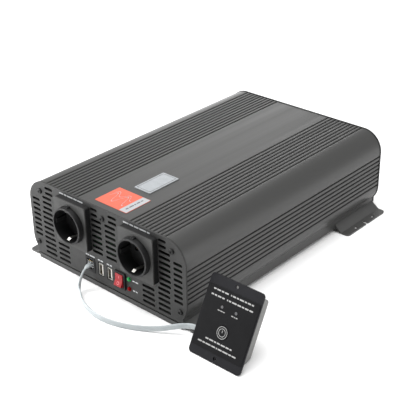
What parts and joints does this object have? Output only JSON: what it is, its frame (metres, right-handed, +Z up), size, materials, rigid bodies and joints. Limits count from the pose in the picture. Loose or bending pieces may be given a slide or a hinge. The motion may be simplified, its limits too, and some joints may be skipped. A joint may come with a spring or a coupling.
{
  "type": "power inverter",
  "caption": "Grooved aluminium power inverter with round earthed sockets, upright USB ports, red rocker switch, fixing feet, rear fans, battery studs and a wired remote switch.",
  "frame": {"origin": "on the floor, at the centre of the four feet's bolt holes", "axes": "+Z up, +Y along the case from the socket end to the battery end, +X to the right seen from the socket end"},
  "size_m": [0.346, 0.4332, 0.1048],
  "materials": {
    "case_metal": "fine grey anodised aluminium extrusion",
    "panel_metal": "grey powder-coated sheet steel",
    "foot_metal": "grey coated aluminium",
    "dark_screw": "blackened pan-head screws",
    "plated_steel": "bright plated steel",
    "label_print": "printed vinyl label, coral with a white strip",
    "display_lens": "pale blue-grey display lens",
    "black_plastic": "black moulded plastic",
    "grey_plastic": "grey moulded plastic",
    "spring_bronze": "bare spring bronze",
    "red_plastic": "red translucent-looking plastic",
    "green_lens": "green lamp lens",
    "red_lens": "red lamp lens",
    "circuit_board": "green circuit board",
    "brass_plate": "turned brass",
    "ferrite": "sintered ferrite",
    "copper_wire": "enamelled copper",
    "capacitor_sleeve": "dark shrink sleeve",
    "bare_aluminium": "extruded aluminium",
    "remote_black": "black textured plastic",
    "overlay_film": "charcoal printed film",
    "light_plastic": "light grey moulded plastic",
    "cable_jacket": "pale grey flexible jacket",
    "clear_plug": "clear moulded modular plug"
  },
  "bodies": {
    "root": {"case_shell": "case_metal", "base_plate": "case_metal", "front_panel": "panel_metal", "rear_panel": "panel_metal", "front_panel_screws": "dark_screw", "rear_panel_screws": "dark_screw", "foot_front_left": "foot_metal", "foot_front_right": "foot_metal", "foot_rear_left": "foot_metal", "foot_rear_right": "foot_metal", "foot_screws": "plated_steel", "top_label": "label_print", "lcd_window": "display_lens", "lcd_module": "black_plastic", "socket_left_body": "black_plastic", "socket_left_cover": "grey_plastic", "socket_left_contacts": "spring_bronze", "socket_left_earth_clips": "plated_steel", "socket_right_body": "black_plastic", "socket_right_cover": "grey_plastic", "socket_right_contacts": "spring_bronze", "socket_right_earth_clips": "plated_steel", "usb_ports": "plated_steel", "remote_port": "black_plastic", "rocker_frame": "black_plastic", "led_green": "green_lens", "led_red": "red_lens", "front_board": "circuit_board", "main_board": "circuit_board", "board_standoffs": "brass_plate", "transformer_cores": "ferrite", "transformer_windings": "copper_wire", "capacitors": "capacitor_sleeve", "heatsink_left": "bare_aluminium", "heatsink_right": "bare_aluminium", "power_transistors": "black_plastic", "choke_core": "ferrite", "choke_winding": "copper_wire", "fan_left_frame": "black_plastic", "fan_right_frame": "black_plastic", "fan_guards": "plated_steel", "fan_screws": "dark_screw", "terminal_positive": "red_plastic", "terminal_negative": "black_plastic", "terminal_studs": "brass_plate", "terminal_nuts": "plated_steel", "bus_bars": "copper_wire", "remote_plate": "remote_black", "remote_overlay": "overlay_film", "remote_box": "light_plastic", "remote_jack": "black_plastic", "remote_board": "circuit_board", "remote_lamps": "red_lens", "remote_cable": "cable_jacket", "cable_plug_inverter": "clear_plug", "cable_plug_remote": "clear_plug"},
    "rocker": {"rocker_button": "red_plastic"},
    "remote_key": {"remote_button": "overlay_film"},
    "fan_left_wheel": {"fan_left_rotor": "black_plastic"},
    "fan_right_wheel": {"fan_right_rotor": "black_plastic"}
  },
  "joints": [
    {"name": "rocker_tilt", "type": "hinge", "parent": "root", "child": "rocker", "pos_m": [0.0241, -0.178, 0.0253], "axis": [1, 0, 0], "range_deg": [0, 24]},
    {"name": "remote_key_press", "type": "slide", "parent": "root", "child": "remote_key", "axis": [-0.0062, 0.8857, -0.4642], "range_m": [0, 0.0008], "stiffness_N_per_m": 400, "springref_m": -0.001},
    {"name": "fan_left_spin", "type": "hinge", "parent": "root", "child": "fan_left_wheel", "pos_m": [-0.044, 0.16, 0.055], "axis": [0, 1, 0], "continuous": true},
    {"name": "fan_right_spin", "type": "hinge", "parent": "root", "child": "fan_right_wheel", "pos_m": [0.044, 0.16, 0.055], "axis": [0, 1, 0], "continuous": true}
  ]
}
